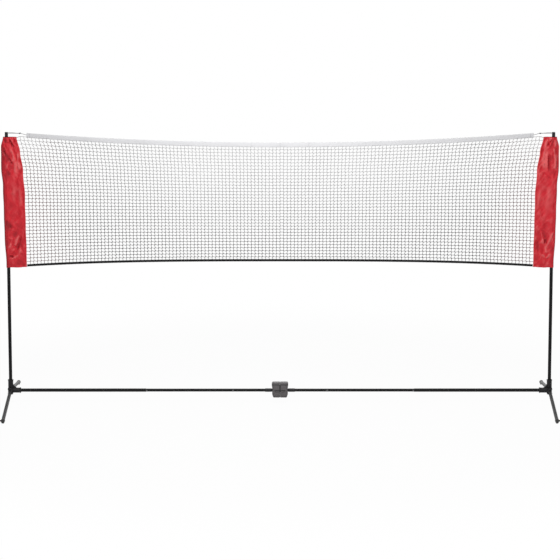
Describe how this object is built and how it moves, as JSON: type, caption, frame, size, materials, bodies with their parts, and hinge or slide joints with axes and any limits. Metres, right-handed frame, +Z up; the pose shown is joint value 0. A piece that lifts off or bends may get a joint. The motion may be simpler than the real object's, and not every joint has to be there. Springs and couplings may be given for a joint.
{
  "type": "badminton net",
  "caption": "Portable badminton net on a folding, telescopic tube base with two posts, red cloth sleeves and a dark net with a white top tape.",
  "frame": {"origin": "on the floor, under the middle of the base", "axes": "+X along the net to the right post, +Y to the rear, +Z up"},
  "size_m": [3.119, 1.0024, 1.551],
  "materials": {
    "coated_steel": "black powder coat, semi-gloss",
    "grey_plastic": "moulded, fine texture",
    "black_plastic": "moulded, fine texture",
    "black_rubber": "matt",
    "bright_steel": "zinc plated",
    "red_polyester": "woven polyester, slight sheen",
    "white_webbing": "folded and stitched tape",
    "black_webbing": "stitched tape",
    "net_string": "knotted dark string",
    "black_cord": "braided cord"
  },
  "bodies": {
    "hub": {"hub_link": "grey_plastic", "left_fold_pin": "bright_steel", "right_fold_pin": "bright_steel"},
    "left_arm": {"left_hub_half": "grey_plastic", "left_inner_base_tube": "coated_steel", "left_stop_collar": "black_plastic", "left_net": "net_string", "left_top_tape": "white_webbing", "left_bottom_hem": "black_webbing"},
    "left_post": {"left_outer_base_tube": "coated_steel", "left_corner_fitting": "black_plastic", "left_front_foot_pin": "bright_steel", "left_rear_foot_pin": "bright_steel", "left_lower_post": "coated_steel", "left_upper_post": "coated_steel", "left_post_ferrule": "bright_steel", "left_post_cap": "black_plastic", "left_sleeve": "red_polyester", "left_top_cord": "black_cord"},
    "left_lock_button": {"left_lock_clip": "bright_steel"},
    "left_stow_button": {"left_stow_clip": "bright_steel"},
    "left_front_foot": {"left_front_foot_knuckle": "black_plastic", "left_front_leg_tube": "coated_steel", "left_front_rubber_tip": "black_rubber"},
    "left_rear_foot": {"left_rear_foot_knuckle": "black_plastic", "left_rear_leg_tube": "coated_steel", "left_rear_rubber_tip": "black_rubber"},
    "right_arm": {"right_hub_half": "grey_plastic", "right_inner_base_tube": "coated_steel", "right_stop_collar": "black_plastic", "right_net": "net_string", "right_top_tape": "white_webbing", "right_bottom_hem": "black_webbing"},
    "right_post": {"right_outer_base_tube": "coated_steel", "right_corner_fitting": "black_plastic", "right_front_foot_pin": "bright_steel", "right_rear_foot_pin": "bright_steel", "right_lower_post": "coated_steel", "right_upper_post": "coated_steel", "right_post_ferrule": "bright_steel", "right_post_cap": "black_plastic", "right_sleeve": "red_polyester", "right_top_cord": "black_cord"},
    "right_lock_button": {"right_lock_clip": "bright_steel"},
    "right_stow_button": {"right_stow_clip": "bright_steel"},
    "right_front_foot": {"right_front_foot_knuckle": "black_plastic", "right_front_leg_tube": "coated_steel", "right_front_rubber_tip": "black_rubber"},
    "right_rear_foot": {"right_rear_foot_knuckle": "black_plastic", "right_rear_leg_tube": "coated_steel", "right_rear_rubber_tip": "black_rubber"}
  },
  "joints": [
    {"name": "left_arm_fold", "type": "hinge", "parent": "hub", "child": "left_arm", "pos_m": [-0.012, 0.038, 0.076], "axis": [0, 0, -1], "range_deg": [0, 90]},
    {"name": "left_base_slide", "type": "slide", "parent": "left_arm", "child": "left_post", "axis": [1, 0, 0], "range_m": [0, 0.4895], "deforming": ["left_net", "left_top_tape", "left_bottom_hem", "left_lock_clip"]},
    {"name": "left_lock_button_press", "type": "slide", "parent": "left_arm", "child": "left_lock_button", "axis": [0, 1, 0], "range_m": [0, 0.0025], "stiffness_N_per_m": 900, "springref_m": -0.001, "deforming": ["left_lock_clip"]},
    {"name": "left_stow_button_press", "type": "slide", "parent": "left_arm", "child": "left_stow_button", "axis": [0, 1, 0], "range_m": [0, 0.0025], "stiffness_N_per_m": 900, "springref_m": -0.001, "deforming": ["left_stow_clip"]},
    {"name": "left_front_foot_fold", "type": "hinge", "parent": "left_post", "child": "left_front_foot", "pos_m": [-1.5275, -0.035, 0.076], "axis": [0, 0, 1], "range_deg": [0, 90]},
    {"name": "left_rear_foot_fold", "type": "hinge", "parent": "left_post", "child": "left_rear_foot", "pos_m": [-1.5275, 0.035, 0.076], "axis": [0, 0, -1], "range_deg": [0, 90]},
    {"name": "right_arm_fold", "type": "hinge", "parent": "hub", "child": "right_arm", "pos_m": [0.012, 0.038, 0.076], "axis": [0, 0, 1], "range_deg": [0, 90]},
    {"name": "right_base_slide", "type": "slide", "parent": "right_arm", "child": "right_post", "axis": [-1, 0, 0], "range_m": [0, 0.4895], "deforming": ["right_net", "right_top_tape", "right_bottom_hem", "right_lock_clip"]},
    {"name": "right_lock_button_press", "type": "slide", "parent": "right_arm", "child": "right_lock_button", "axis": [0, 1, 0], "range_m": [0, 0.0025], "stiffness_N_per_m": 900, "springref_m": -0.001, "deforming": ["right_lock_clip"]},
    {"name": "right_stow_button_press", "type": "slide", "parent": "right_arm", "child": "right_stow_button", "axis": [0, 1, 0], "range_m": [0, 0.0025], "stiffness_N_per_m": 900, "springref_m": -0.001, "deforming": ["right_stow_clip"]},
    {"name": "right_front_foot_fold", "type": "hinge", "parent": "right_post", "child": "right_front_foot", "pos_m": [1.5275, -0.035, 0.076], "axis": [0, 0, -1], "range_deg": [0, 90]},
    {"name": "right_rear_foot_fold", "type": "hinge", "parent": "right_post", "child": "right_rear_foot", "pos_m": [1.5275, 0.035, 0.076], "axis": [0, 0, 1], "range_deg": [0, 90]}
  ]
}
